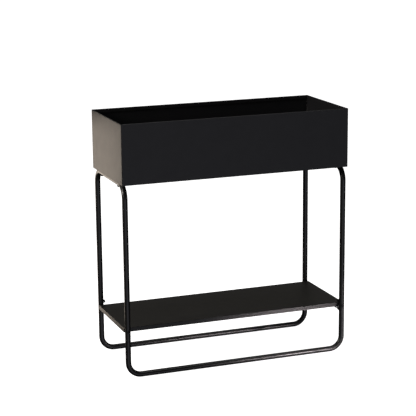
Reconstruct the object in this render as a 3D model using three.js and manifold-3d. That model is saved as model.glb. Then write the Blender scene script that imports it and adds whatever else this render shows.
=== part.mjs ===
// Raised planter on legs: a folded sheet-steel box carried on two identical bent steel tubes, with a
// sheet shelf near the floor. Millimetres, +Z up, +X along the box, +Y to the rear. The origin is on the
// floor, under the middle of the box.
import * as THREE from "three";
import { mergeVertices } from "three/addons/utils/BufferGeometryUtils.js";
import Module from "manifold-3d";

const wasm = await Module();
wasm.setup();

// ---- Driving dimensions ----

// Box
const boxLength = 600;
const boxDepth = 250;
const boxHeight = 150;
const boxTop = 640; // rim above the floor
const sheet = 1.2; // steel sheet of the box and its floor
const cornerRadius = 2.5; // outside radius of the vertical corner bends
const cornerReturn = 4; // how far the front and rear panels wrap onto the ends
const hemDepth = 10; // rim folded flat against the inside of the panels
const floorCornerRadius = 2.5;

// Tube frame
const tubeDiameter = 14;
const tubeWall = 1.2;
const topBendRadius = 35; // centre-line radius under the box
const baseBendRadius = 33; // centre-line radius at the floor
const endClearance = 0.4; // tube to the inside of an end panel
const sideClearance = 1.8; // tube to the inside of the front or rear panel
const runBelowSkirt = 9; // underside of the tube's top run below the panels' lower edge

// Shelf
const shelfTop = 128.5;
const shelfSheet = 1.2;
const shelfFlange = 11; // height of the down-turned edge, sheet included
const shelfOverhang = 0.6; // end of the shelf past the outside of the tubes
const shelfCornerRadius = 2;

// Frame joints, one at the rear left leg and one at the front right leg
const jointAboveShelf = 20.5;
const jointBoltAboveShelf = 6.5;
const sleeveWall = 1.5;
const sleeveUp = 35; // sleeve inside the upper tube
const sleeveDown = 21; // sleeve inside the lower tube
const lugReach = 9; // lug past the tube, under the shelf corner
const lugTipHeight = 1.6;
const lugHeight = 8.5;
const lugInTube = 2; // near side of the lug from the tube's axis

// Fasteners
const boltDiameter = 5;
const boxScrewHead = { diameter: 9.5, height: 3.3 };
const shelfBoltHead = { diameter: 8, height: 1.9 }; // low, so that it hardly stands out from the leg
const jointBoltHead = 4; // hexagon head, on the inner side of the leg
const acrossFlats = 8; // of the nuts and of the joint bolt's head
const nutHeight = 3.5;
const nutBelowSheet = 0.9; // top flat of a shelf nut below the shelf's sheet
const weldNutFlange = 10;
const weldNutFlangeHeight = 1;
const weldNutBody = 7.6;
const weldNutHeight = 4.5;
const boxScrewFromBend = 10; // from the end of the top bend
const threadPastNut = 0.8;

// Fits
const gap = 0.3; // between pieces that touch
const holeClearance = 0.3; // round a bolt

// Fineness
const tubeSides = 16;
const bendSteps = 8;
const roundSides = 16;

// ---- Derived places ----

const tubeRadius = tubeDiameter / 2;
const boxBottom = boxTop - boxHeight;
const legX = boxLength / 2 - sheet - endClearance - tubeRadius;
const legY = boxDepth / 2 - sheet - sideClearance - tubeRadius;
const topRunZ = boxBottom - runBelowSkirt + tubeRadius;
const floorUnderside = topRunZ + tubeRadius + gap;
const shelfHalfDepth = legY - tubeRadius - gap;
const shelfHalfLength = legX + tubeRadius + shelfOverhang;
const shelfUnderside = shelfTop - shelfFlange;
const shelfBoltZ = shelfTop - shelfSheet - nutBelowSheet - acrossFlats / 2;
const jointZ = shelfTop + jointAboveShelf;
const jointBoltZ = shelfTop + jointBoltAboveShelf;
const boxScrewY = legY - topBendRadius - boxScrewFromBend;
const boltRadius = boltDiameter / 2;
const holeRadius = boltRadius + holeClearance;
const nutHoleRadius = boltRadius + holeClearance;

// ---- Finishes ----

const boxFinish = new THREE.MeshStandardMaterial({ color: 0x26262a, roughness: 0.5, metalness: 0 });
const shelfFinish = new THREE.MeshStandardMaterial({ color: 0x252422, roughness: 0.5, metalness: 0 });
const frameFinish = new THREE.MeshStandardMaterial({ color: 0x1f1e1c, roughness: 0.38, metalness: 0 });
const fastenerFinish = new THREE.MeshStandardMaterial({ color: 0x151515, roughness: 0.4, metalness: 0.6 });
const steelFinish = new THREE.MeshStandardMaterial({ color: 0x8c8c8a, roughness: 0.45, metalness: 1 });

// ---- Geometry helpers ----

// A closed three.js geometry as a solid that can be joined and cut.
function solidOf(geometry) {
  const bare = geometry.clone();
  bare.deleteAttribute("normal");
  bare.deleteAttribute("uv");
  const merged = mergeVertices(bare, 1e-4);
  return new wasm.Manifold(
    new wasm.Mesh({
      numProp: 3,
      vertProperties: new Float32Array(merged.attributes.position.array),
      triVerts: new Uint32Array(merged.index.array),
    }),
  );
}

function geometryOf(solid) {
  const made = solid.getMesh();
  const geometry = new THREE.BufferGeometry();
  geometry.setAttribute("position", new THREE.BufferAttribute(made.vertProperties, 3));
  geometry.setIndex(new THREE.BufferAttribute(made.triVerts, 1));
  geometry.computeVertexNormals();
  return geometry;
}

// The first geometry with the others added, then with the cutters taken away.
function worked(geometry, { join = [], cut = [] }) {
  let solid = solidOf(geometry);
  for (const piece of join) solid = solid.add(solidOf(piece));
  for (const cutter of cut) solid = solid.subtract(solidOf(cutter));
  return geometryOf(solid);
}

function addMesh(group, name, geometry, finish) {
  const mesh = new THREE.Mesh(geometry, finish);
  mesh.name = name;
  group.add(mesh);
  return mesh;
}

// A box between two corners.
function block(x0, x1, y0, y1, z0, z1) {
  const made = new THREE.BoxGeometry(x1 - x0, y1 - y0, z1 - z0);
  return made.translate((x0 + x1) / 2, (y0 + y1) / 2, (z0 + z1) / 2);
}

// A rectangle with round corners, extruded from z0 to z1.
function roundedSlab(halfLength, halfDepth, radius, z0, z1) {
  const shape = new THREE.Shape();
  shape.absarc(halfLength - radius, halfDepth - radius, radius, 0, Math.PI / 2);
  shape.absarc(radius - halfLength, halfDepth - radius, radius, Math.PI / 2, Math.PI);
  shape.absarc(radius - halfLength, radius - halfDepth, radius, Math.PI, 1.5 * Math.PI);
  shape.absarc(halfLength - radius, radius - halfDepth, radius, 1.5 * Math.PI, 2 * Math.PI);
  const slab = new THREE.ExtrudeGeometry(shape, { depth: z1 - z0, bevelEnabled: false, curveSegments: 3 });
  return slab.translate(0, 0, z0);
}

// Turns a shape made along +Z so that it points along another axis, and puts its origin at a point.
function aimed(geometry, direction, point) {
  const turn = new THREE.Quaternion().setFromUnitVectors(new THREE.Vector3(0, 0, 1), direction);
  return geometry.applyQuaternion(turn).translate(point.x, point.y, point.z);
}

// A turned piece about +Z, from pairs of radius and height, listed upwards on its outside.
function turned(profile, sides = roundSides) {
  const points = profile.map(([radius, height]) => new THREE.Vector2(radius, height));
  const lathe = new THREE.LatheGeometry(points, sides);
  return lathe.rotateX(Math.PI / 2); // a lathe turns about +Y
}

// A drill along +Z, centred on the origin.
function drill(radius, length) {
  const bit = new THREE.CylinderGeometry(radius, radius, length, roundSides);
  return bit.rotateX(Math.PI / 2);
}

// A domed bolt whose head seats at the origin, with the shank running along +Z.
function domedBolt(head, shankLength) {
  const headRadius = head.diameter / 2;
  return turned([
    [0, -head.height],
    [headRadius * 0.55, -head.height * 0.92],
    [headRadius * 0.88, -head.height * 0.6],
    [headRadius, 0],
    [boltRadius, 0],
    [boltRadius, shankLength],
    [0, shankLength],
  ]);
}

function hexagon() {
  const shape = new THREE.Shape();
  const corner = acrossFlats / Math.sqrt(3);
  for (let i = 0; i < 6; i++) {
    const angle = (i * Math.PI) / 3;
    shape[i ? "lineTo" : "moveTo"](corner * Math.cos(angle), corner * Math.sin(angle));
  }
  return shape;
}

// A hexagon bolt whose head seats at the origin, with the shank running along +Z.
function hexBolt(headHeight, shankLength) {
  const head = new THREE.ExtrudeGeometry(hexagon(), { depth: headHeight, bevelEnabled: false });
  const shank = drill(boltRadius, shankLength + headHeight / 2);
  shank.translate(0, 0, shankLength / 2 - headHeight / 4);
  return worked(head.translate(0, 0, -headHeight), { join: [shank] });
}

// A hexagon nut from the origin up +Z.
function hexNut() {
  const shape = hexagon();
  shape.holes.push(new THREE.Path().absarc(0, 0, nutHoleRadius, 0, 2 * Math.PI));
  return new THREE.ExtrudeGeometry(shape, {
    depth: nutHeight,
    bevelEnabled: false,
    curveSegments: roundSides / 2,
  });
}

// A flanged weld nut, flange down, from the origin up +Z.
function weldNut() {
  return turned([
    [nutHoleRadius, 0],
    [weldNutFlange / 2, 0],
    [weldNutFlange / 2, weldNutFlangeHeight],
    [weldNutBody / 2, weldNutFlangeHeight],
    [weldNutBody / 2, weldNutHeight],
    [nutHoleRadius, weldNutHeight],
    [nutHoleRadius, 0],
  ]);
}

// A path through given stations: each station is a place on a bent tube's centre line and its direction.
class StationPath extends THREE.Curve {
  constructor(stations) {
    super();
    this.stations = stations;
  }
  at(u) {
    return this.stations[Math.round(u * (this.stations.length - 1))];
  }
  getPointAt(u) {
    return this.at(u).point.clone();
  }
  getTangentAt(u) {
    return this.at(u).tangent.clone();
  }
}

// Stations along a line of corners, with each inner corner bent to its radius.
function bentStations(corners, radii) {
  const direction = (i) => corners[i + 1].clone().sub(corners[i]).normalize();
  const stations = [{ point: corners[0].clone(), tangent: direction(0) }];
  for (let i = 1; i < corners.length - 1; i++) {
    const incoming = direction(i - 1);
    const outgoing = direction(i);
    const angle = incoming.angleTo(outgoing);
    const radius = radii[i - 1];
    const start = corners[i].clone().addScaledVector(incoming, -radius * Math.tan(angle / 2));
    const axis = incoming.clone().cross(outgoing).normalize();
    const toCentre = axis.clone().cross(incoming);
    const centre = start.clone().addScaledVector(toCentre, radius);
    for (let step = 0; step <= bendSteps; step++) {
      const turn = (angle * step) / bendSteps;
      const spoke = toCentre.clone().negate().applyAxisAngle(axis, turn);
      stations.push({
        point: centre.clone().addScaledVector(spoke, radius),
        tangent: incoming.clone().applyAxisAngle(axis, turn),
      });
    }
  }
  const last = corners.length - 1;
  stations.push({ point: corners[last].clone(), tangent: direction(last - 1) });
  return stations;
}

// A hollow tube along stations. Its flats touch the true outer and inner circles.
function tubeAlong(stations, radius, wall) {
  const halfStep = Math.PI / tubeSides;
  const flatToCorner = 1 / Math.cos(halfStep);
  const section = new THREE.Shape();
  section.absarc(0, 0, radius * flatToCorner, halfStep, halfStep + 2 * Math.PI);
  const bore = new THREE.Path();
  bore.absarc(0, 0, (radius - wall) * flatToCorner, halfStep, halfStep + 2 * Math.PI);
  section.holes.push(bore);
  return new THREE.ExtrudeGeometry(section, {
    steps: stations.length - 1,
    extrudePath: new StationPath(stations),
    curveSegments: tubeSides / 2,
    bevelEnabled: false,
  });
}

const at = (x, y, z) => new THREE.Vector3(x, y, z);
const up = at(0, 0, 1);

// ---- Box: four folded panels and a recessed floor ----

// A long panel: it wraps round both vertical corners and its rim is folded inwards. Made for the front.
function longPanel() {
  const x = boxLength / 2;
  const y = -boxDepth / 2;
  const centreX = x - cornerRadius;
  const centreY = y + cornerRadius;
  const inner = cornerRadius - sheet;
  const plan = new THREE.Shape();
  plan.moveTo(-x, y + cornerReturn);
  plan.absarc(-centreX, centreY, cornerRadius, Math.PI, 1.5 * Math.PI);
  plan.absarc(centreX, centreY, cornerRadius, 1.5 * Math.PI, 2 * Math.PI);
  plan.lineTo(x, y + cornerReturn);
  plan.lineTo(x - sheet, y + cornerReturn);
  plan.absarc(centreX, centreY, inner, 2 * Math.PI, 1.5 * Math.PI, true);
  plan.absarc(-centreX, centreY, inner, 1.5 * Math.PI, Math.PI, true);
  plan.lineTo(-x + sheet, y + cornerReturn);
  const wall = new THREE.ExtrudeGeometry(plan, { depth: boxHeight, bevelEnabled: false, curveSegments: 3 });
  wall.translate(0, 0, boxBottom);
  const hem = block(sheet / 2 - x, x - sheet / 2, y + sheet / 2, y + 2 * sheet, boxTop - hemDepth, boxTop);
  return worked(wall, { join: [hem] });
}

// An end panel: it butts between the corner returns, with the same folded rim. Made for the right end.
function endPanel() {
  const x = boxLength / 2;
  const y = boxDepth / 2 - cornerReturn - gap;
  const wall = block(x - sheet, x, -y, y, boxBottom, boxTop);
  const hem = block(x - 2 * sheet, x - sheet / 2, -y, y, boxTop - hemDepth, boxTop);
  return worked(wall, { join: [hem] });
}

// The floor: a sheet with round corners, welded to the panels all round, resting on the top runs.
function floorPlate() {
  const halfLength = boxLength / 2 - sheet - gap;
  const halfDepth = boxDepth / 2 - sheet - gap;
  const top = floorUnderside + sheet;
  const plate = roundedSlab(halfLength, halfDepth, floorCornerRadius, floorUnderside, top);
  const holes = corners.map(({ sx, sy }) =>
    drill(holeRadius, 4 * sheet).translate(sx * legX, sy * boxScrewY, floorUnderside),
  );
  return worked(plate, { cut: holes });
}

// The four legs, with the side of the box that each stands on.
const corners = [
  { name: "front_left", sx: -1, sy: -1 },
  { name: "front_right", sx: 1, sy: -1 },
  { name: "rear_left", sx: -1, sy: 1 },
  { name: "rear_right", sx: 1, sy: 1 },
];

const planter = new THREE.Group();
addMesh(planter, "front_panel", longPanel(), boxFinish);
addMesh(planter, "rear_panel", longPanel(), boxFinish).rotation.z = Math.PI;
addMesh(planter, "right_end_panel", endPanel(), boxFinish);
addMesh(planter, "left_end_panel", endPanel(), boxFinish).rotation.z = Math.PI;
addMesh(planter, "floor_plate", floorPlate(), boxFinish);

// ---- Frame: two identical halves, the second turned half round the vertical axis ----

// One half starts at the rear left joint, rises, passes under the left end of the box, comes down the
// front left leg, runs along the floor and rises to the front right joint.
function frameTube() {
  const joint = gap / 2;
  const path = bentStations(
    [
      at(-legX, legY, jointZ + joint),
      at(-legX, legY, topRunZ),
      at(-legX, -legY, topRunZ),
      at(-legX, -legY, tubeRadius),
      at(legX, -legY, tubeRadius),
      at(legX, -legY, jointZ - joint),
    ],
    [topBendRadius, topBendRadius, baseBendRadius, baseBendRadius],
  );
  const across = 3 * tubeDiameter;
  const holes = [
    drill(holeRadius, across).translate(-legX, boxScrewY, topRunZ),
    drill(holeRadius, across).translate(-legX, -boxScrewY, topRunZ),
    aimed(drill(holeRadius, tubeDiameter), at(1, 0, 0), at(legX - tubeRadius, -legY, jointBoltZ)),
    aimed(drill(holeRadius, across), at(0, 1, 0), at(-legX, -legY, shelfBoltZ)),
    aimed(drill(holeRadius, across), at(0, 1, 0), at(legX, -legY, shelfBoltZ)),
  ];
  return worked(tubeAlong(path, tubeRadius, tubeWall), { cut: holes });
}

// The sleeve inside the joint at the rear left: welded in the upper tube, and tapped for the bolt that
// holds it in the lower one.
function jointSleeve() {
  const low = at(-legX, legY, jointZ - sleeveDown);
  const high = at(-legX, legY, jointZ + sleeveUp);
  const stations = [low, high].map((point) => ({ point, tangent: up }));
  const hole = aimed(drill(holeRadius, 3 * tubeDiameter), at(1, 0, 0), at(-legX, legY, jointBoltZ));
  return worked(tubeAlong(stations, tubeRadius - tubeWall - gap, sleeveWall), { cut: [hole] });
}

// The lug welded on the lower tube at the rear left joint: the shelf's rear edge rests on it.
function shelfLug() {
  const top = shelfUnderside - gap;
  const tip = tubeRadius + lugReach;
  const profile = new THREE.Shape();
  profile.moveTo(tubeRadius / 2, -lugHeight);
  profile.lineTo(tubeRadius + 1, -lugHeight);
  profile.quadraticCurveTo(tubeRadius + 1.5, -lugTipHeight - 1, tip, -lugTipHeight);
  profile.lineTo(tip, 0);
  profile.lineTo(tubeRadius / 2, 0);
  const thickness = legY - lugInTube - (shelfHalfDepth - shelfSheet);
  const plate = new THREE.ExtrudeGeometry(profile, {
    depth: thickness,
    bevelEnabled: false,
    curveSegments: 5,
  });
  plate.rotateX(Math.PI / 2).translate(-legX, legY - lugInTube, top);
  const tube = drill((tubeRadius + gap) / Math.cos(Math.PI / roundSides), 4 * lugHeight);
  return worked(plate, { cut: [tube.translate(-legX, legY, top)] });
}

function frameHalf(side, joint) {
  const half = new THREE.Group();
  const seat = tubeRadius + gap;
  const shankEnd = Math.sqrt((tubeRadius - tubeWall) ** 2 - boltRadius ** 2) - gap; // clear of the far wall
  const hexagonBolt = hexBolt(jointBoltHead, seat + shankEnd);
  const jointBolt = aimed(hexagonBolt, at(-1, 0, 0), at(-legX + seat, legY, jointBoltZ));
  addMesh(half, "frame_tube_" + side, frameTube(), frameFinish);
  addMesh(half, "joint_sleeve_" + joint, jointSleeve(), steelFinish);
  addMesh(half, "joint_bolt_" + joint, jointBolt, fastenerFinish);
  addMesh(half, "shelf_lug_" + joint, shelfLug(), frameFinish);
  return half;
}

planter.add(frameHalf("left_front", "rear_left"));
const otherHalf = frameHalf("right_rear", "front_right");
otherHalf.rotation.z = Math.PI;
planter.add(otherHalf);

// ---- Shelf: one sheet with its four edges turned down ----

function shelf() {
  const tray = roundedSlab(shelfHalfLength, shelfHalfDepth, shelfCornerRadius, shelfUnderside, shelfTop);
  const hollow = roundedSlab(
    shelfHalfLength - shelfSheet,
    shelfHalfDepth - shelfSheet,
    shelfCornerRadius - shelfSheet,
    shelfUnderside - 1,
    shelfTop - shelfSheet,
  );
  const holes = corners.map(({ sx, sy }) =>
    aimed(drill(holeRadius, 4 * shelfSheet), at(0, 1, 0), at(sx * legX, sy * shelfHalfDepth, shelfBoltZ)),
  );
  return worked(tray, { cut: [hollow, ...holes] });
}

addMesh(planter, "shelf", shelf(), shelfFinish);

// ---- Fasteners at the four corners ----

for (const { name, sx, sy } of corners) {
  // Up through the top run and the floor into a weld nut inside the box.
  const screwSeat = topRunZ - tubeRadius - gap;
  const nutSeat = floorUnderside + sheet + gap;
  const screwLength = nutSeat + weldNutHeight + threadPastNut - screwSeat;
  const screw = domedBolt(boxScrewHead, screwLength).translate(sx * legX, sy * boxScrewY, screwSeat);
  addMesh(planter, "box_screw_" + name, screw, fastenerFinish);
  const floorNut = weldNut().translate(sx * legX, sy * boxScrewY, nutSeat);
  addMesh(planter, "floor_nut_" + name, floorNut, boxFinish);

  // Inwards through the leg and the shelf's edge into a nut behind it.
  const inward = at(0, -sy, 0);
  const boltSeat = sy * (legY + tubeRadius + gap);
  const shelfNutSeat = sy * (shelfHalfDepth - shelfSheet - gap);
  const boltLength = Math.abs(boltSeat - shelfNutSeat) + nutHeight + threadPastNut;
  const shelfBolt = aimed(domedBolt(shelfBoltHead, boltLength), inward, at(sx * legX, boltSeat, shelfBoltZ));
  addMesh(planter, "shelf_bolt_" + name, shelfBolt, fastenerFinish);
  const shelfNut = aimed(hexNut(), inward, at(sx * legX, shelfNutSeat, shelfBoltZ));
  addMesh(planter, "shelf_nut_" + name, shelfNut, fastenerFinish);
}

export default planter;
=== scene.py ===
"""Raised planter on legs: a folded sheet-steel box on two bent tube halves, with a shelf near the floor.
Metres, +Z up, +X along the box, +Y to the rear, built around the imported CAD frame."""

import math

import bmesh
import bpy
from mathutils import Matrix, Vector


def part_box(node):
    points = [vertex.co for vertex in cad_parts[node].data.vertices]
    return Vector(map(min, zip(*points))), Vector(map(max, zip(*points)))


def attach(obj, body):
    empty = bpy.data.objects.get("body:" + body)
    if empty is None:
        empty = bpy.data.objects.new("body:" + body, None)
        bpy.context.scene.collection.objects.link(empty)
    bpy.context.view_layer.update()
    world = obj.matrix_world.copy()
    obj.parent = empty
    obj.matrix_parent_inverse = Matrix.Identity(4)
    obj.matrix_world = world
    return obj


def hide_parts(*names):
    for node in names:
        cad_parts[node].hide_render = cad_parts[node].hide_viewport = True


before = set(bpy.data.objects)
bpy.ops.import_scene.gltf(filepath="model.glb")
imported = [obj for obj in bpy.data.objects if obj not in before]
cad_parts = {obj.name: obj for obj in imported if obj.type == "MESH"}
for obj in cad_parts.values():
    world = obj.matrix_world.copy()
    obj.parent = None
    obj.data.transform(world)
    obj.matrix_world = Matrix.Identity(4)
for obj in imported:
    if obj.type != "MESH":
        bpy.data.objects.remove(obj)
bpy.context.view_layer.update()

UP = Vector((0, 0, 1))

# ---- Front and rear panels ----
# The two long sides of the box, cold-rolled steel sheet. Each is folded round both upright corners onto
# the ends, and its rim is folded flat against the inside, a closed hem, so that no cut edge is on top.
# The box is welded up first, then blasted and powder coated satin black in one go.

SHEET = 0.0012
CORNER_RADIUS = 0.0025
HEM_RADIUS = 0.00125  # half the thickness of the folded rim
HEM_DEPTH = 0.010
FOLD_STEPS = 6
EDGE_ROUND = 0.00025  # the powder rounds a cut edge by about this much

BOX_BLACK = 0x19191B
BOX_BLACK_THIN = 0x202022


def srgb(value):
    """A hex colour as linear red, green, blue and alpha."""
    channels = [((value >> shift) & 255) / 255 for shift in (16, 8, 0)]
    return [c / 12.92 if c <= 0.04045 else ((c + 0.055) / 1.055) ** 2.4 for c in channels] + [1.0]


def add_node(tree, kind, settings, inputs):
    """Adds a node with its settings. An input is a plain value, or an output that is linked to it."""
    node = tree.nodes.new(kind)
    for name, value in settings.items():
        setattr(node, name, value)
    for socket, value in inputs.items():
        if isinstance(value, bpy.types.NodeSocket):
            tree.links.new(value, node.inputs[socket])
        else:
            node.inputs[socket].default_value = value
    return node


def powder_coat(name, black, thin, gloss, peel_depth, offset=(0, 0, 0)):
    """Polyester powder coat, sprayed dry and baked until it flows. It gives a satin black skin with a
    shallow orange peel, a fine sandy grain in it, slow changes of shade, and a thinner coat on edges."""
    material = bpy.data.materials.new(name)
    material.use_nodes = True
    tree = material.node_tree
    shader = tree.nodes["Principled BSDF"]
    shader.inputs["IOR"].default_value = 1.5
    coordinates = add_node(tree, "ShaderNodeTexCoord", {}, {})
    place = add_node(
        tree, "ShaderNodeMapping", {}, {"Vector": coordinates.outputs["Object"], "Location": offset}
    )
    here = place.outputs["Vector"]

    # Shade: cloudy over about 60 mm, with the thin coat showing along edges, 0.6 mm wide.
    cloud = add_node(tree, "ShaderNodeTexNoise", {}, {"Vector": here, "Scale": 1 / 0.060, "Detail": 3.0})
    rounded = add_node(tree, "ShaderNodeBevel", {"samples": 4}, {"Radius": 0.0006})
    flat = add_node(tree, "ShaderNodeNewGeometry", {}, {})
    along = add_node(
        tree,
        "ShaderNodeVectorMath",
        {"operation": "DOT_PRODUCT"},
        {0: rounded.outputs["Normal"], 1: flat.outputs["Normal"]},
    )
    edge = add_node(
        tree,
        "ShaderNodeMapRange",
        {},
        {"Value": along.outputs["Value"], "From Min": 0.98, "From Max": 0.80, "To Max": 0.8},
    )
    cloudy = add_node(
        tree,
        "ShaderNodeMapRange",
        {},
        {"Value": cloud.outputs["Fac"], "From Min": 0.35, "From Max": 0.65, "To Max": 0.35},
    )
    shade = add_node(
        tree,
        "ShaderNodeMath",
        {"operation": "MAXIMUM"},
        {0: edge.outputs["Result"], 1: cloudy.outputs["Result"]},
    )
    colour = add_node(
        tree,
        "ShaderNodeMix",
        {"data_type": "RGBA"},
        {0: shade.outputs["Value"], 6: srgb(black), 7: srgb(thin)},
    )
    tree.links.new(colour.outputs[2], shader.inputs["Base Color"])

    # Gloss: a little patchy over 25 mm, as the powder flows out unevenly.
    patch = add_node(tree, "ShaderNodeTexNoise", {}, {"Vector": here, "Scale": 1 / 0.025, "Detail": 2.0})
    rough = add_node(
        tree,
        "ShaderNodeMapRange",
        {},
        {
            "Value": patch.outputs["Fac"],
            "From Min": 0.3,
            "From Max": 0.7,
            "To Min": gloss - 0.012,
            "To Max": gloss + 0.012,
        },
    )
    tree.links.new(rough.outputs["Result"], shader.inputs["Roughness"])

    # Relief: orange peel about 2.2 mm from dimple to dimple, and the sandy grain, which is really about
    # 0.2 mm and is drawn at 0.6 mm so that it shows.
    peel = add_node(tree, "ShaderNodeTexNoise", {}, {"Vector": here, "Scale": 1 / 0.0022, "Detail": 1.0})
    grain = add_node(
        tree, "ShaderNodeTexVoronoi", {"feature": "SMOOTH_F1"}, {"Vector": here, "Scale": 1 / 0.0006}
    )
    dimples = add_node(
        tree,
        "ShaderNodeBump",
        {},
        {"Height": peel.outputs["Fac"], "Distance": peel_depth, "Strength": 1.0},
    )
    sand = add_node(
        tree,
        "ShaderNodeBump",
        {},
        {
            "Height": grain.outputs["Distance"],
            "Distance": 0.00002,
            "Strength": 1.0,
            "Normal": dimples.outputs["Normal"],
        },
    )
    tree.links.new(sand.outputs["Normal"], shader.inputs["Normal"])
    return material


BOX_COAT = powder_coat("box_satin_black_powder_coat", BOX_BLACK, BOX_BLACK_THIN, 0.46, 0.00004)


def new_parts(made, kind):
    """The vertices, edges or faces among what a bmesh operator made."""
    return [part for part in made if isinstance(part, kind)]


def face_away(bm, point):
    """Turns an open skin so that its largest face looks away from a point."""
    bmesh.ops.remove_doubles(bm, verts=bm.verts[:], dist=1e-6)
    bmesh.ops.recalc_face_normals(bm, faces=bm.faces[:])
    largest = max(bm.faces, key=lambda face: face.calc_area())
    largest.normal_update()
    if largest.normal.dot(largest.calc_center_median() - Vector(point)) < 0:
        bmesh.ops.reverse_faces(bm, faces=bm.faces[:])


def finish_piece(bm, name, coat, nodes=(), edge_round=EDGE_ROUND):
    """Makes a bmesh a finished piece of the planter, with its cut edges rounded."""
    mesh = bpy.data.meshes.new(name)
    bm.to_mesh(mesh)
    bm.free()
    mesh.materials.append(coat)
    mesh.shade_smooth()
    piece = bpy.data.objects.new(name, mesh)
    bpy.context.scene.collection.objects.link(piece)
    if edge_round:
        bevel = piece.modifiers.new("cut_edges", "BEVEL")
        bevel.width = edge_round
        bevel.segments = 2
        bevel.limit_method = "ANGLE"
        bevel.angle_limit = math.radians(50)
    level = piece.modifiers.new("flat_faces", "WEIGHTED_NORMAL")
    level.keep_sharp = True
    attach(piece, "root")
    if nodes:
        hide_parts(*nodes)
    return piece


def hemmed_panel(length, face, wrap, bottom, top):
    """A panel that looks along -Y from y = -face, wrapped round both ends if wrap isn't 0."""
    bm = bmesh.new()
    half = length / 2
    fold_start = top - HEM_RADIUS
    plan = [(-half, wrap - face), (-half, -face), (half, -face), (half, wrap - face)]
    if not wrap:
        plan = plan[1:3]
    corners = [bm.verts.new((x, y, bottom)) for x, y in plan]
    lower = [bm.edges.new(pair) for pair in zip(corners, corners[1:])]
    raised = bmesh.ops.extrude_edge_only(bm, edges=lower)["geom"]
    bmesh.ops.translate(
        bm, verts=new_parts(raised, bmesh.types.BMVert), vec=UP * (fold_start - bottom)
    )
    upright = [edge for edge in bm.edges if len(edge.link_faces) == 2]
    if upright:
        bmesh.ops.bevel(
            bm,
            geom=upright,
            offset=CORNER_RADIUS,
            offset_type="OFFSET",
            affect="EDGES",
            segments=FOLD_STEPS,
            profile=0.5,
            material=-1,
        )

    # The rim: the straight stretch is folded over, and the corners run up beside it.
    rim = [edge for edge in bm.edges if all(abs(v.co.z - fold_start) < 1e-6 for v in edge.verts)]
    straight = max(rim, key=lambda edge: edge.calc_length())
    rim.remove(straight)
    if rim:
        ends = bmesh.ops.extrude_edge_only(bm, edges=rim)["geom"]
        bmesh.ops.translate(bm, verts=new_parts(ends, bmesh.types.BMVert), vec=UP * HEM_RADIUS)
    folded = bmesh.ops.spin(
        bm,
        geom=[straight, *straight.verts],
        cent=(0, HEM_RADIUS - face, fold_start),
        axis=(1, 0, 0),
        angle=-math.pi,
        steps=FOLD_STEPS,
        use_duplicate=False,
    )["geom_last"]
    inner = bmesh.ops.extrude_edge_only(bm, edges=new_parts(folded, bmesh.types.BMEdge))["geom"]
    bmesh.ops.translate(
        bm, verts=new_parts(inner, bmesh.types.BMVert), vec=-UP * (HEM_DEPTH - HEM_RADIUS)
    )
    face_away(bm, (0, 0, (bottom + top) / 2))
    bmesh.ops.solidify(bm, geom=bm.faces[:], thickness=SHEET)
    return bm


def turned_about_up(bm, degrees):
    """Turns a piece round the middle of the planter."""
    turn = Matrix.Rotation(math.radians(degrees), 3, "Z")
    bmesh.ops.rotate(bm, verts=bm.verts[:], cent=(0, 0, 0), matrix=turn)
    return bm


panel_low, panel_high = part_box("front_panel")
WRAP = panel_high.y - panel_low.y
for side, degrees in (("front", 0), ("rear", 180)):
    panel = hemmed_panel(2 * panel_high.x, -panel_low.y, WRAP, panel_low.z, panel_high.z)
    turned_about_up(panel, degrees)
    finish_piece(panel, side + "_panel_folded", BOX_COAT, [side + "_panel"])

# ---- End panels ----
# The two short sides, the same sheet with the same hem, butted between the wraps of the long panels.
# The upright seam is welded from inside and shows outside as a hairline under the powder.

SEAM = 0.00012

end_low, end_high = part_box("right_end_panel")
END_WIDTH = 2 * (-panel_low.y - WRAP - SEAM)
for side, degrees in (("left", -90), ("right", 90)):
    panel = hemmed_panel(END_WIDTH, end_high.x, 0, end_low.z, end_high.z)
    turned_about_up(panel, degrees)
    finish_piece(panel, side + "_end_folded", BOX_COAT, [side + "_end_panel"])

# ---- Floor plate ----
# The floor of the box, a flat sheet with round corners that rests on the top runs of the frame, about
# 5 mm up inside the skirt. It is stitch welded to the panels all round before the box is coated.

PLATE_CORNER = 0.0025
SCREW_HOLE = 0.0028
HOLE_SIDES = 24

plate_low, plate_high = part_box("floor_plate")
tube_low, tube_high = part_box("frame_tube_left_front")
screw_low, screw_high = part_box("box_screw_front_left")
LEG_X = -(screw_low.x + screw_high.x) / 2
SCREW_Y = -(screw_low.y + screw_high.y) / 2
CORNERS = [("front_left", -1, -1), ("front_right", 1, -1), ("rear_left", -1, 1), ("rear_right", 1, 1)]


def ring(bm, radius, centre, axis, sides):
    """An open ring of edges round an axis, for a hole or the end of a tube."""
    place = Matrix.Translation(centre) @ Vector(axis).to_track_quat("Z", "Y").to_matrix().to_4x4()
    verts = bmesh.ops.create_circle(bm, radius=radius, segments=sides, matrix=place)["verts"]
    return list({edge for vert in verts for edge in vert.link_edges})


def round_cornered(bm, low, high, z, radius):
    """A flat rectangle at a height, with round corners."""
    corners = [(low.x, low.y), (high.x, low.y), (high.x, high.y), (low.x, high.y)]
    verts = [bm.verts.new((x, y, z)) for x, y in corners]
    bm.faces.new(verts)
    bmesh.ops.bevel(
        bm,
        geom=verts,
        offset=radius,
        offset_type="OFFSET",
        affect="VERTICES",
        segments=FOLD_STEPS,
        profile=0.5,
        material=-1,
    )


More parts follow.
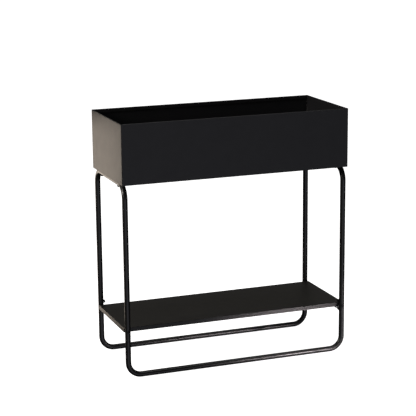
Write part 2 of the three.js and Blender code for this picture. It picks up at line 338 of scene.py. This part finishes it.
floor = bmesh.new()
round_cornered(floor, plate_low, plate_high, plate_low.z, PLATE_CORNER)
bmesh.ops.delete(floor, geom=floor.faces[:], context="FACES_ONLY")
loops = floor.edges[:]
for _, sx, sy in CORNERS:
    loops += ring(floor, SCREW_HOLE, (sx * LEG_X, sy * SCREW_Y, plate_low.z), UP, HOLE_SIDES)
bmesh.ops.triangle_fill(floor, use_beauty=True, edges=loops)
face_away(floor, (0, 0, plate_high.z))
bmesh.ops.solidify(floor, geom=floor.faces[:], thickness=SHEET)
finish_piece(floor, "floor_plate_drilled", BOX_COAT, ["floor_plate"])

# ---- Welds in the box ----
# Short MIG stitches, inside the upright seams and round the edge of the floor, each a row of ripples left
# by the puddle. They are under the same powder as the sheet.

BEAD_RADIUS = 0.0014
BEAD_PITCH = 0.0011
BEAD_SIDES = 8
BEAD_INWARD = 0.0006  # how far the middle of a bead stands off the sheet
BEAD_END = 0.45  # of the full radius, at each round end
BEAD_WAIST = 0.86  # of the full radius, between two ripples
STITCH = 0.018
SEAM_STITCHES = (0.22, 0.55, 0.86)  # up each seam, as a share of its height
LONG_SIDE_STITCHES = (-0.24, -0.12, 0.0, 0.12, 0.24)
SHORT_SIDE_STITCHES = (-0.07, 0.07)


def weld_bead(bm, start, end, radius=BEAD_RADIUS):
    """A rippled bead of weld from start to end, round ended."""
    start, end = Vector(start), Vector(end)
    run = (end - start).normalized()
    ripples = max(3, round((end - start).length / BEAD_PITCH))
    step = (end - start) / (2 * ripples)
    edges = ring(bm, radius * BEAD_END, start, run, BEAD_SIDES)
    bmesh.ops.edgeloop_fill(bm, edges=edges)
    size = BEAD_END
    for i in range(1, 2 * ripples + 1):
        if i == 2 * ripples:
            wanted = BEAD_END
        else:
            wanted = 1.0 if i % 2 else BEAD_WAIST
        drawn = bmesh.ops.extrude_edge_only(bm, edges=edges)["geom"]
        verts = new_parts(drawn, bmesh.types.BMVert)
        bmesh.ops.translate(bm, verts=verts, vec=step)
        scale = Matrix.Scale(wanted / size, 4)
        bmesh.ops.transform(
            bm, matrix=scale, verts=verts, space=Matrix.Translation(-(start + step * i))
        )
        edges = [edge for edge in new_parts(drawn, bmesh.types.BMEdge) if set(edge.verts) <= set(verts)]
        size = wanted
    bmesh.ops.edgeloop_fill(bm, edges=edges)


def finish_welds(bm, name, coat):
    """Finishes beads of weld, which have no cut edges to round."""
    bmesh.ops.recalc_face_normals(bm, faces=bm.faces[:])
    return finish_piece(bm, name, coat, edge_round=0)


SEAM_INSIDE_X = end_high.x - SHEET - BEAD_INWARD
SEAM_Y = -panel_low.y - WRAP
for name, sx, sy in CORNERS:
    welds = bmesh.new()
    for height in SEAM_STITCHES:
        middle = Vector((sx * SEAM_INSIDE_X, sy * SEAM_Y, end_low.z + height * (end_high.z - end_low.z)))
        weld_bead(welds, middle - UP * STITCH / 2, middle + UP * STITCH / 2)
    finish_welds(welds, "seam_welds_" + name, BOX_COAT)

floor_welds = bmesh.new()
along = Vector((STITCH / 2, 0, 0))
across = Vector((0, STITCH / 2, 0))
for sign in (-1, 1):
    for x in LONG_SIDE_STITCHES:
        middle = Vector((x, sign * (plate_high.y - BEAD_INWARD), plate_high.z))
        weld_bead(floor_welds, middle - along, middle + along)
    for y in SHORT_SIDE_STITCHES:
        middle = Vector((sign * (plate_high.x - BEAD_INWARD), y, plate_high.z))
        weld_bead(floor_welds, middle - across, middle + across)
finish_welds(floor_welds, "floor_welds", BOX_COAT)

# ---- Frame halves ----
# Two identical pieces of 14 mm steel tube, each bent on a mandrel in four places and set half a turn
# from the other. Each passes under one end of the box, down two legs and along the floor on one side.
# The tube is smoother than the sheet, and its powder flows out to a slightly glossier skin.

TUBE_RADIUS = 0.007
TUBE_WALL = 0.0012
TUBE_SIDES = 40
TOP_BEND = 0.035
BASE_BEND = 0.033
BEND_STEPS = 14
JOINT_GAP = 0.0003

LEG_Y = tube_high.y - TUBE_RADIUS
TOP_RUN_Z = tube_high.z - TUBE_RADIUS
sleeve_low, sleeve_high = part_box("joint_sleeve_rear_left")
SLEEVE_DOWN = 0.021
JOINT_Z = sleeve_low.z + SLEEVE_DOWN

FRAME_BLACK = 0x161615
FRAME_BLACK_THIN = 0x1D1D1C
FRAME_COAT = powder_coat("frame_satin_black_powder_coat", FRAME_BLACK, FRAME_BLACK_THIN, 0.34, 0.00002)


def draw_tube(bm, start, heading, moves):
    """The skin of a bent tube: each move is a straight length, then the axis and radius of a bend."""
    point = Vector(start)
    heading = Vector(heading)
    edges = ring(bm, TUBE_RADIUS, point, heading, TUBE_SIDES)
    for length, axis, bend in moves:
        drawn = bmesh.ops.extrude_edge_only(bm, edges=edges)["geom"]
        verts = new_parts(drawn, bmesh.types.BMVert)
        bmesh.ops.translate(bm, verts=verts, vec=heading * length)
        edges = [edge for edge in new_parts(drawn, bmesh.types.BMEdge) if set(edge.verts) <= set(verts)]
        point = point + heading * length
        if axis is None:
            break
        axis = Vector(axis)
        centre = point + axis.cross(heading) * bend
        spun = bmesh.ops.spin(
            bm,
            geom=edges,
            cent=centre,
            axis=axis,
            angle=math.pi / 2,
            steps=BEND_STEPS,
            use_duplicate=False,
        )["geom_last"]
        edges = new_parts(spun, bmesh.types.BMEdge)
        turn = Matrix.Rotation(math.pi / 2, 3, axis)
        point = centre + turn @ (point - centre)
        heading = turn @ heading


def frame_half():
    """The half that starts at the rear left joint and ends at the front right one."""
    bm = bmesh.new()
    legs_up = TOP_RUN_Z - TOP_BEND - JOINT_Z - JOINT_GAP / 2
    under_box = 2 * LEG_Y - 2 * TOP_BEND
    leg_down = TOP_RUN_Z - TOP_BEND - BASE_BEND - TUBE_RADIUS
    floor_run = 2 * LEG_X - 2 * BASE_BEND
    last_up = JOINT_Z - JOINT_GAP / 2 - BASE_BEND - TUBE_RADIUS
    moves = [
        (legs_up, (1, 0, 0), TOP_BEND),
        (under_box, (1, 0, 0), TOP_BEND),
        (leg_down, (0, -1, 0), BASE_BEND),
        (floor_run, (0, -1, 0), BASE_BEND),
        (last_up, None, 0),
    ]
    draw_tube(bm, (-LEG_X, LEG_Y, JOINT_Z + JOINT_GAP / 2), UP, moves)
    face_away(bm, (0, -LEG_Y, TUBE_RADIUS))
    bmesh.ops.solidify(bm, geom=bm.faces[:], thickness=TUBE_WALL)
    return bm


for name, degrees in (("left_front", 0), ("right_rear", 180)):
    half = turned_about_up(frame_half(), degrees)
    finish_piece(half, "frame_half_" + name, FRAME_COAT, ["frame_tube_" + name])

# ---- Joint sleeves ----
# Short lengths of drawn steel tube inside each joint of the frame, welded in the upper tube and bolted
# in the lower one. Only a hairline of bare metal shows, at the joint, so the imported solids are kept.

SLEEVE_STEEL = 0xB4B3AF
SLEEVE_STEEL_OILED = 0x9A9892


def drawn_steel(name):
    """Bare steel tube, drawn through a die and oiled: fine lines along it, about 0.3 mm apart."""
    material = bpy.data.materials.new(name)
    material.use_nodes = True
    tree = material.node_tree
    shader = tree.nodes["Principled BSDF"]
    shader.inputs["Metallic"].default_value = 1.0
    coordinates = add_node(tree, "ShaderNodeTexCoord", {}, {})
    stretched = add_node(
        tree,
        "ShaderNodeMapping",
        {},
        {"Vector": coordinates.outputs["Object"], "Scale": (1.0, 1.0, 0.02)},
    )
    lines = add_node(
        tree,
        "ShaderNodeTexNoise",
        {},
        {"Vector": stretched.outputs["Vector"], "Scale": 1 / 0.0003, "Detail": 2.0},
    )
    colour = add_node(
        tree,
        "ShaderNodeMix",
        {"data_type": "RGBA"},
        {0: lines.outputs["Fac"], 6: srgb(SLEEVE_STEEL), 7: srgb(SLEEVE_STEEL_OILED)},
    )
    tree.links.new(colour.outputs[2], shader.inputs["Base Color"])
    rough = add_node(
        tree, "ShaderNodeMapRange", {}, {"Value": lines.outputs["Fac"], "To Min": 0.3, "To Max": 0.5}
    )
    tree.links.new(rough.outputs["Result"], shader.inputs["Roughness"])
    return material


SLEEVE_COAT = drawn_steel("oiled_drawn_steel")
for name in ("joint_sleeve_rear_left", "joint_sleeve_front_right"):
    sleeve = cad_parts[name]
    sleeve.data.materials.clear()
    sleeve.data.materials.append(SLEEVE_COAT)

# ---- Shelf ----
# One sheet of the same steel with its four edges folded down, sitting between the front and rear legs.
# Its corners are welded and ground round, and it is coated like the box, a shade warmer.

SHELF_FOLD = 0.0018
SHELF_CORNER = 0.002

SHELF_BLACK = 0x191817
SHELF_BLACK_THIN = 0x21201E
SHELF_COAT = powder_coat(
    "shelf_satin_black_powder_coat", SHELF_BLACK, SHELF_BLACK_THIN, 0.48, 0.00004, (0.31, 0.17, 0.05)
)

shelf_low, shelf_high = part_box("shelf")
shelf = bmesh.new()
round_cornered(shelf, shelf_low, shelf_high, shelf_high.z, SHELF_CORNER)
rim = shelf.edges[:]
turned_down = bmesh.ops.extrude_edge_only(shelf, edges=rim)["geom"]
bmesh.ops.translate(
    shelf, verts=new_parts(turned_down, bmesh.types.BMVert), vec=UP * (shelf_low.z - shelf_high.z)
)
bmesh.ops.bevel(
    shelf,
    geom=rim,
    offset=SHELF_FOLD,
    offset_type="OFFSET",
    affect="EDGES",
    segments=FOLD_STEPS,
    profile=0.5,
    material=-1,
    clamp_overlap=True,
)
face_away(shelf, (0, 0, shelf_low.z))
bmesh.ops.solidify(shelf, geom=shelf.faces[:], thickness=SHEET)
finish_piece(shelf, "shelf_folded", SHELF_COAT, ["shelf"])

# ---- Shelf lugs ----
# A small steel gusset welded on the inner side of the lower tube at each joint, under the shelf's edge,
# so that the shelf rests on it while it is bolted. Its lower edge sweeps down into the leg.

LUG_TIP = 0.0016
LUG_NEAR = 0.001  # how far from the tube its lower end stands
LUG_STEPS = 8
LUG_EDGE = 0.0004
LUG_ROOT = 0.6  # how far out from the tube's axis it starts, as a share of the tube's radius
LUG_WELD = 0.0011
LUG_WELD_SHORT = 0.0005  # each weld stops this far from the lug's ends
LUG_WELD_SPREAD = 0.95  # widest place of a weld on the tube, as a share of the tube's radius


def lug(low, high):
    """The lug at the front right, whose tip points along -X."""
    tube_side = LEG_X - TUBE_RADIUS
    near = tube_side - LUG_NEAR
    sweep_x = near - low.x
    sweep_z = high.z - LUG_TIP - low.z
    points = [(LEG_X - LUG_ROOT * TUBE_RADIUS, high.z), (low.x, high.z)]
    for i in range(LUG_STEPS + 1):
        angle = math.pi / 2 * i / LUG_STEPS
        points.append((low.x + sweep_x * math.sin(angle), low.z + sweep_z * math.cos(angle)))
    points.append((LEG_X - LUG_ROOT * TUBE_RADIUS, low.z))
    bm = bmesh.new()
    side = bm.faces.new([bm.verts.new((x, low.y, z)) for x, z in points])
    thick = bmesh.ops.extrude_face_region(bm, geom=[side])["geom"]
    bmesh.ops.translate(
        bm, verts=new_parts(thick, bmesh.types.BMVert), vec=(0, high.y - low.y, 0)
    )
    bmesh.ops.recalc_face_normals(bm, faces=bm.faces[:])
    return bm


lug_low, lug_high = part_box("shelf_lug_front_right")
for name, degrees in (("front_right", 0), ("rear_left", 180)):
    plate = turned_about_up(lug(lug_low, lug_high), degrees)
    node = "shelf_lug_" + name
    finish_piece(plate, node + "_plate", FRAME_COAT, [node], LUG_EDGE)
    welds = bmesh.new()
    for y in (lug_low.y, lug_high.y):
        off_axis = min(abs(abs(y) - LEG_Y), LUG_WELD_SPREAD * TUBE_RADIUS)
        x = LEG_X - math.sqrt(TUBE_RADIUS**2 - off_axis**2)
        bottom = (x, y, lug_low.z + LUG_WELD_SHORT)
        top = (x, y, lug_high.z - LUG_WELD_SHORT)
        weld_bead(welds, bottom, top, LUG_WELD)
    turned_about_up(welds, degrees)
    finish_welds(welds, node + "_welds", FRAME_COAT)

# ---- Screws and bolts ----
# M5 screws, black zinc plated. Four with domed heads go up through the top runs into the box, and four
# with low heads go through the legs into the shelf. A hexagon bolt holds each joint, tapped in its sleeve.

HEAD_STEPS = 5
THREAD_PITCH = 0.0008
THREAD_DEPTH = 0.0003
THREAD_TURNS = 6
TIP_TAPER = 0.0002
TIP_LENGTH = 0.0004
SOCKET_ACROSS = 0.003
SOCKET_SIDES = 24
SOCKET_DEPTH = 0.7  # as a share of the head's height
HEAD_FLAT = 0.5  # radius of the flat on top of a domed head, as a share of the head's radius
HEAD_SIDE = 0.15  # upright part of a domed head, as a share of its height

BLACK_ZINC = 0x141415
BLACK_ZINC_WORN = 0x3A3A3B


def black_zinc(name):
    """Black passivated zinc on steel: a thin dark metal skin, rubbed lighter on its edges."""
    material = bpy.data.materials.new(name)
    material.use_nodes = True
    tree = material.node_tree
    shader = tree.nodes["Principled BSDF"]
    shader.inputs["Metallic"].default_value = 0.55
    coordinates = add_node(tree, "ShaderNodeTexCoord", {}, {})
    spots = add_node(
        tree,
        "ShaderNodeTexNoise",
        {},
        {"Vector": coordinates.outputs["Object"], "Scale": 1 / 0.0012, "Detail": 3.0},
    )
    rounded = add_node(tree, "ShaderNodeBevel", {"samples": 4}, {"Radius": 0.0003})
    flat = add_node(tree, "ShaderNodeNewGeometry", {}, {})
    along = add_node(
        tree,
        "ShaderNodeVectorMath",
        {"operation": "DOT_PRODUCT"},
        {0: rounded.outputs["Normal"], 1: flat.outputs["Normal"]},
    )
    edge = add_node(
        tree,
        "ShaderNodeMapRange",
        {},
        {"Value": along.outputs["Value"], "From Min": 0.97, "From Max": 0.7, "To Max": 0.7},
    )
    faint = add_node(
        tree,
        "ShaderNodeMapRange",
        {},
        {"Value": spots.outputs["Fac"], "From Min": 0.45, "From Max": 0.75, "To Max": 0.4},
    )
    worn = add_node(
        tree,
        "ShaderNodeMath",
        {"operation": "MAXIMUM"},
        {0: edge.outputs["Result"], 1: faint.outputs["Result"]},
    )
    colour = add_node(
        tree,
        "ShaderNodeMix",
        {"data_type": "RGBA"},
        {0: worn.outputs["Value"], 6: srgb(BLACK_ZINC), 7: srgb(BLACK_ZINC_WORN)},
    )
    tree.links.new(colour.outputs[2], shader.inputs["Base Color"])
    rough = add_node(
        tree, "ShaderNodeMapRange", {}, {"Value": spots.outputs["Fac"], "To Min": 0.32, "To Max": 0.48}
    )
    tree.links.new(rough.outputs["Result"], shader.inputs["Roughness"])
    return material


ZINC = black_zinc("black_zinc_plate")


def hexagon(bm, across, z):
    """A six-sided loop with as many points as the socket's rim."""
    verts = bmesh.ops.create_circle(
        bm, radius=across / math.sqrt(3), segments=6, matrix=Matrix.Translation((0, 0, z))
    )["verts"]
    edges = list({edge for vert in verts for edge in vert.link_edges})
    split = bmesh.ops.subdivide_edges(bm, edges=edges, cuts=SOCKET_SIDES // 6 - 1)["geom_inner"]
    verts = set(verts) | set(new_parts(split, bmesh.types.BMVert))
    return [edge for edge in bm.edges if set(edge.verts) <= verts]


def threaded_end(shank_radius, length):
    """The profile of a shank from its tip down to where its thread ends."""
    profile = [(0, length), (shank_radius - THREAD_DEPTH - TIP_TAPER, length)]
    z = length - TIP_LENGTH
    for _ in range(THREAD_TURNS):
        profile += [(shank_radius, z), (shank_radius - THREAD_DEPTH, z - THREAD_PITCH / 2)]
        z -= THREAD_PITCH
    return profile + [(shank_radius, z)]


def turned(bm, profile):
    """Turns a profile of radii and heights round +Z."""
    points = [bm.verts.new((radius, 0, height)) for radius, height in profile]
    line = [bm.edges.new(pair) for pair in zip(points, points[1:])]
    bmesh.ops.spin(
        bm,
        geom=[*points, *line],
        cent=(0, 0, 0),
        axis=UP,
        angle=2 * math.pi,
        steps=SOCKET_SIDES,
        use_merge=True,
        use_duplicate=False,
    )
    bmesh.ops.remove_doubles(bm, verts=bm.verts[:], dist=1e-6)
    return [edge for edge in bm.edges if edge.is_boundary]


def socket_bolt(head_radius, head_height, shank_radius, length):
    """A domed bolt that seats at the origin, its head below and its shank up +Z."""
    bm = bmesh.new()
    rim = HEAD_FLAT * head_radius
    profile = threaded_end(shank_radius, length)
    profile += [(shank_radius, 0), (head_radius, 0), (head_radius, -HEAD_SIDE * head_height)]
    for i in range(1, HEAD_STEPS + 1):
        angle = math.pi / 2 * i / HEAD_STEPS
        radius = rim + (head_radius - rim) * math.cos(angle)
        profile.append((radius, -head_height * (HEAD_SIDE + (1 - HEAD_SIDE) * math.sin(angle))))
    around = turned(bm, profile)
    mouth = hexagon(bm, SOCKET_ACROSS, -head_height)
    bmesh.ops.bridge_loops(bm, edges=around + mouth)
    sunk = bmesh.ops.extrude_edge_only(bm, edges=mouth)["geom"]
    verts = new_parts(sunk, bmesh.types.BMVert)
    bmesh.ops.translate(bm, verts=verts, vec=UP * SOCKET_DEPTH * head_height)
    bottom = [edge for edge in new_parts(sunk, bmesh.types.BMEdge) if set(edge.verts) <= set(verts)]
    bmesh.ops.edgeloop_fill(bm, edges=bottom)
    bmesh.ops.recalc_face_normals(bm, faces=bm.faces[:])
    return bm


HEXAGON_ACROSS = 0.008
HEXAGON_CHAMFER = 0.0005
CHAMFER_START = 0.475  # radius of the round flat inside the chamfer, as a share of the width across


def hexagon_bolt(across, head_height, shank_radius, length):
    """A hexagon bolt that seats at the origin, its chamfered head below and its shank up +Z."""
    bm = bmesh.new()
    neck = turned(bm, [*threaded_end(shank_radius, length), (shank_radius, 0)])
    loops = [
        neck,
        hexagon(bm, across, 0),
        hexagon(bm, across, HEXAGON_CHAMFER - head_height),
        ring(bm, CHAMFER_START * across, (0, 0, -head_height), UP, SOCKET_SIDES),
    ]
    for near, far in zip(loops, loops[1:]):
        bmesh.ops.bridge_loops(bm, edges=near + far)
    bmesh.ops.edgeloop_fill(bm, edges=loops[-1])
    bmesh.ops.recalc_face_normals(bm, faces=bm.faces[:])
    return bm


def aim(bm, direction, seat):
    """Puts a fastener made up +Z at its seat, pointing along a direction."""
    turn = Vector(direction).to_track_quat("Z", "Y").to_matrix().to_4x4()
    bmesh.ops.transform(bm, matrix=Matrix.Translation(seat) @ turn, verts=bm.verts[:])
    return bm


BOLT_RADIUS = 0.0025
BOX_SCREW_HEAD = 0.0033
SHELF_BOLT_HEAD = 0.0019
JOINT_BOLT_HEAD = 0.004
BOLT_EDGE = 0.00015


def bolt_for(node, direction, head_height, hexagonal=False):
    """A bolt of the same size and place as its CAD node, its shank pointing along a direction."""
    low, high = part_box(node)
    direction = Vector(direction)
    overall = abs((high - low).dot(direction))
    length = overall - head_height
    if hexagonal:
        bolt = hexagon_bolt(HEXAGON_ACROSS, head_height, BOLT_RADIUS, length)
    else:
        head_radius = sorted(high - low)[1] / 2
        bolt = socket_bolt(head_radius, head_height, BOLT_RADIUS, length)
    aim(bolt, direction, (low + high) / 2 - direction * (overall / 2 - head_height))
    finish_piece(bolt, node + "_threaded", ZINC, [node], BOLT_EDGE)


for name, sx, sy in CORNERS:
    bolt_for("box_screw_" + name, (0, 0, 1), BOX_SCREW_HEAD)
    bolt_for("shelf_bolt_" + name, (0, -sy, 0), SHELF_BOLT_HEAD)
for name, sx in (("rear_left", -1), ("front_right", 1)):
    bolt_for("joint_bolt_" + name, (sx, 0, 0), JOINT_BOLT_HEAD, hexagonal=True)

# ---- Nuts ----
# Plain M5 hexagon nuts behind the shelf's edge, black zinc plated like the bolts, and round flanged
# weld nuts on the floor of the box, under the box's powder.

NUT_BORE = 0.00256
BORE_CHAMFER = 0.0003
WELD_NUT_BODY = 0.76  # as a share of its flange's radius
WELD_NUT_FLANGE = 0.001
WELD_NUT_CHAMFER = 0.0005


def hex_nut(height):
    """A hexagon nut from the origin up +Z, with both faces chamfered."""
    bm = bmesh.new()
    loops = [
        ring(bm, NUT_BORE, (0, 0, BORE_CHAMFER), UP, SOCKET_SIDES),
        ring(bm, NUT_BORE + BORE_CHAMFER, (0, 0, 0), UP, SOCKET_SIDES),
        ring(bm, CHAMFER_START * HEXAGON_ACROSS, (0, 0, 0), UP, SOCKET_SIDES),
        hexagon(bm, HEXAGON_ACROSS, HEXAGON_CHAMFER),
        hexagon(bm, HEXAGON_ACROSS, height - HEXAGON_CHAMFER),
        ring(bm, CHAMFER_START * HEXAGON_ACROSS, (0, 0, height), UP, SOCKET_SIDES),
        ring(bm, NUT_BORE + BORE_CHAMFER, (0, 0, height), UP, SOCKET_SIDES),
        ring(bm, NUT_BORE, (0, 0, height - BORE_CHAMFER), UP, SOCKET_SIDES),
    ]
    for near, far in zip(loops, loops[1:] + loops[:1]):
        bmesh.ops.bridge_loops(bm, edges=near + far)
    bmesh.ops.recalc_face_normals(bm, faces=bm.faces[:])
    return bm


def nut_for(node, direction):
    """A nut of the same size and place as its CAD node, its bore along a direction."""
    low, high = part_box(node)
    direction = Vector(direction)
    height = abs((high - low).dot(direction))
    seat = (low + high) / 2 - direction * height / 2
    bm = aim(hex_nut(height), direction, seat)
    finish_piece(bm, node + "_hexagonal", ZINC, [node], BOLT_EDGE)


def weld_nut(node):
    """A turned nut with a thin flange, welded down round it."""
    low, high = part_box(node)
    flange = (high.x - low.x) / 2
    body = WELD_NUT_BODY * flange
    top = high.z - low.z
    profile = [
        (NUT_BORE, 0),
        (flange, 0),
        (flange, WELD_NUT_FLANGE),
        (body, WELD_NUT_FLANGE),
        (body, top - WELD_NUT_CHAMFER),
        (body - WELD_NUT_CHAMFER, top),
        (NUT_BORE + BORE_CHAMFER, top),
        (NUT_BORE, top - BORE_CHAMFER),
    ]
    bm = bmesh.new()
    points = [bm.verts.new((radius, 0, height)) for radius, height in profile]
    line = [bm.edges.new(pair) for pair in zip(points, points[1:] + points[:1])]
    bmesh.ops.spin(
        bm,
        geom=[*points, *line],
        cent=(0, 0, 0),
        axis=UP,
        angle=2 * math.pi,
        steps=2 * HOLE_SIDES,
        use_merge=True,
        use_duplicate=False,
    )
    bmesh.ops.remove_doubles(bm, verts=bm.verts[:], dist=1e-6)
    bmesh.ops.recalc_face_normals(bm, faces=bm.faces[:])
    seat = Vector(((low.x + high.x) / 2, (low.y + high.y) / 2, low.z))
    bmesh.ops.translate(bm, verts=bm.verts[:], vec=seat)
    finish_piece(bm, node + "_flanged", BOX_COAT, [node], BOLT_EDGE)


for name, sx, sy in CORNERS:
    nut_for("shelf_nut_" + name, (0, -sy, 0))
    weld_nut("floor_nut_" + name)

# ---- Studio ----
# A plain white floor under a white dome, so that every side is seen against white. The pieces themselves
# mirror a dim room that is brighter low down, in front and warmer behind, and a few soft lamps.

STUDIO_RADIUS = 40.0
STUDIO_WHITE = 0xF4F4F4
STUDIO_GLOW = 1.1

paper = bpy.data.materials.new("matte_white_paper")
paper.use_nodes = True
paper_shader = paper.node_tree.nodes["Principled BSDF"]
paper_shader.inputs["Base Color"].default_value = srgb(STUDIO_WHITE)
paper_shader.inputs["Roughness"].default_value = 0.9
paper_shader.inputs["Specular IOR Level"].default_value = 0.0
paper_shader.inputs["Emission Color"].default_value = (1, 1, 1, 1)
paper_shader.inputs["Emission Strength"].default_value = STUDIO_GLOW


def backdrop(bm, name):
    """A part of the white surroundings, which neither lights the planter nor shows in its gloss."""
    mesh = bpy.data.meshes.new(name)
    bm.to_mesh(mesh)
    bm.free()
    mesh.materials.append(paper)
    mesh.shade_smooth()
    surround = bpy.data.objects.new(name, mesh)
    bpy.context.scene.collection.objects.link(surround)
    surround.visible_glossy = False
    surround.visible_diffuse = False
    surround.visible_shadow = False


ground = bmesh.new()
bmesh.ops.create_grid(ground, x_segments=1, y_segments=1, size=STUDIO_RADIUS)
backdrop(ground, "studio_floor")
dome = bmesh.new()
bmesh.ops.create_uvsphere(dome, u_segments=32, v_segments=16, radius=STUDIO_RADIUS)
bmesh.ops.reverse_faces(dome, faces=dome.faces[:])
backdrop(dome, "studio_dome")

ROOM = (0.014, 0.014, 0.015, 1)
ROOM_IN_FRONT = (0.70, 0.70, 0.78, 1)
ROOM_BEHIND = (0.13, 0.125, 0.115, 1)

world = bpy.data.worlds.new("soft_studio")
bpy.context.scene.world = world
world.use_nodes = True
sky = world.node_tree
background = sky.nodes["Background"]
direction = add_node(sky, "ShaderNodeTexCoord", {}, {})
parts = add_node(sky, "ShaderNodeSeparateXYZ", {}, {0: direction.outputs["Generated"]})
light = ROOM
for share_in_y, share_in_z, glow in (
    ((-0.65, -0.93), (0.05, -0.15), ROOM_IN_FRONT),
    ((0.10, 0.90), (0.00, 0.15), ROOM_BEHIND),
):
    shares = [
        add_node(
            sky,
            "ShaderNodeMapRange",
            {"interpolation_type": "SMOOTHSTEP"},
            {"Value": parts.outputs[along], "From Min": start, "From Max": full},
        )
        for along, (start, full) in (("Y", share_in_y), ("Z", share_in_z))
    ]
    share = add_node(
        sky,
        "ShaderNodeMath",
        {"operation": "MULTIPLY"},
        {0: shares[0].outputs["Result"], 1: shares[1].outputs["Result"]},
    )
    room = add_node(
        sky, "ShaderNodeMix", {"data_type": "RGBA"}, {0: share.outputs["Value"], 6: light, 7: glow}
    )
    light = room.outputs[2]
sky.links.new(light, background.inputs["Color"])


def soft_lamp(name, place, target, size, power, colour, spread=180):
    """A square softbox that the camera doesn't see."""
    lamp = bpy.data.lights.new(name, "AREA")
    lamp.size = size
    lamp.energy = power
    lamp.color = colour
    lamp.spread = math.radians(spread)
    holder = bpy.data.objects.new(name, lamp)
    bpy.context.scene.collection.objects.link(holder)
    place, target = Vector(place), Vector(target)
    aimed_at = (target - place).to_track_quat("-Z", "Y").to_matrix().to_4x4()
    holder.matrix_world = Matrix.Translation(place) @ aimed_at
    holder.visible_camera = False


WARM = (1, 0.86, 0.72)
soft_lamp("overhead", (0.3, -0.2, 3.0), (0, 0, 0), 2.0, 25, (1, 1, 1))
soft_lamp("left_window", (-2.6, -0.3, 1.5), (-0.2, 0, 0.4), 0.6, 40, (1, 0.94, 0.88))
soft_lamp("rear_left_card", (-0.38, 0.33, 0.46), (-0.3, 0.11, 0.54), 0.24, 0.046, WARM, 45)
soft_lamp("rear_left_card_low", (-0.45, 0.55, 0.06), (-0.3, 0, 0.12), 0.25, 0.06, WARM, 50)
soft_lamp("low_right", (0.9, -1.25, 0.08), (0.15, -0.12, 0.03), 0.2, 0.34, (1, 0.90, 0.92), 13)

CAMERA_PLACE = (-1.3121, -3.4024, 1.2256)
CAMERA_TURN = 0.3594  # to the right of straight along +Y, radians
CAMERA_DOWN = 0.2270
CAMERA_ROLL = -0.0099
CAMERA_LENS = 126.26

camera_data = bpy.data.cameras.new("camera")
camera_data.lens = CAMERA_LENS
camera_data.clip_end = 5 * STUDIO_RADIUS
camera = bpy.data.objects.new("camera", camera_data)
bpy.context.scene.collection.objects.link(camera)
camera.matrix_world = (
    Matrix.Translation(CAMERA_PLACE)
    @ Matrix.Rotation(-CAMERA_TURN, 4, "Z")
    @ Matrix.Rotation(math.pi / 2 - CAMERA_DOWN, 4, "X")
    @ Matrix.Rotation(CAMERA_ROLL, 4, "Z")
)
bpy.context.scene.camera = camera
bpy.context.scene.view_settings.view_transform = "Standard"
